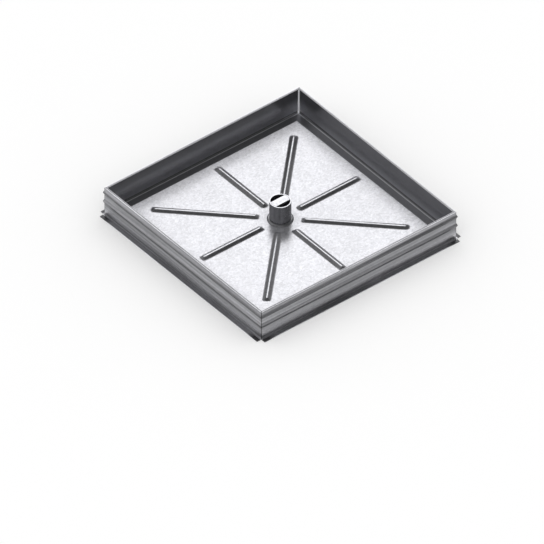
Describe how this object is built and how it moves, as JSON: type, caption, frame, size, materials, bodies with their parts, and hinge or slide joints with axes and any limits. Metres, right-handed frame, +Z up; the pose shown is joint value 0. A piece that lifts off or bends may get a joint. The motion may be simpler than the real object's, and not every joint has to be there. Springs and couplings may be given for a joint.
{
  "type": "recessed paving cover",
  "caption": "Square galvanised steel recessed cover for block paving: a ribbed-floor tray with a central lifting tube seated in a mitred, flanged sheet frame.",
  "frame": {"origin": "centre of the frame's foot, on the plane of the foot flange's underside", "axes": "+Z up; X and Y run along the frame's bars, and the crossbar of the lifting tube runs along X"},
  "size_m": [0.566, 0.566, 0.076],
  "materials": {
    "galvanised_frame": "hot-dip galvanised sheet, smooth satin with faint spangle",
    "galvanised_rail": "hot-dip galvanised sheet, duller in the channel",
    "galvanised_tray": "hot-dip galvanised sheet, bright with fine spangle",
    "zinc_weld": "weld bead coated with bright zinc",
    "steel_tube": "galvanised tube, smooth satin",
    "steel_collar": "galvanised ring, smooth satin",
    "steel_crossbar": "galvanised flat bar, bright"
  },
  "bodies": {
    "root": {"frame_bar_front": "galvanised_frame", "frame_bar_right": "galvanised_frame", "frame_bar_back": "galvanised_frame", "frame_bar_left": "galvanised_frame", "seat_rail_front": "galvanised_rail", "seat_rail_right": "galvanised_rail", "seat_rail_back": "galvanised_rail", "seat_rail_left": "galvanised_rail", "tray_pan": "galvanised_tray", "tray_corner_welds": "zinc_weld", "lifting_tube": "steel_tube", "tube_collar": "steel_collar", "lifting_crossbar": "steel_crossbar"}
  },
  "joints": []
}
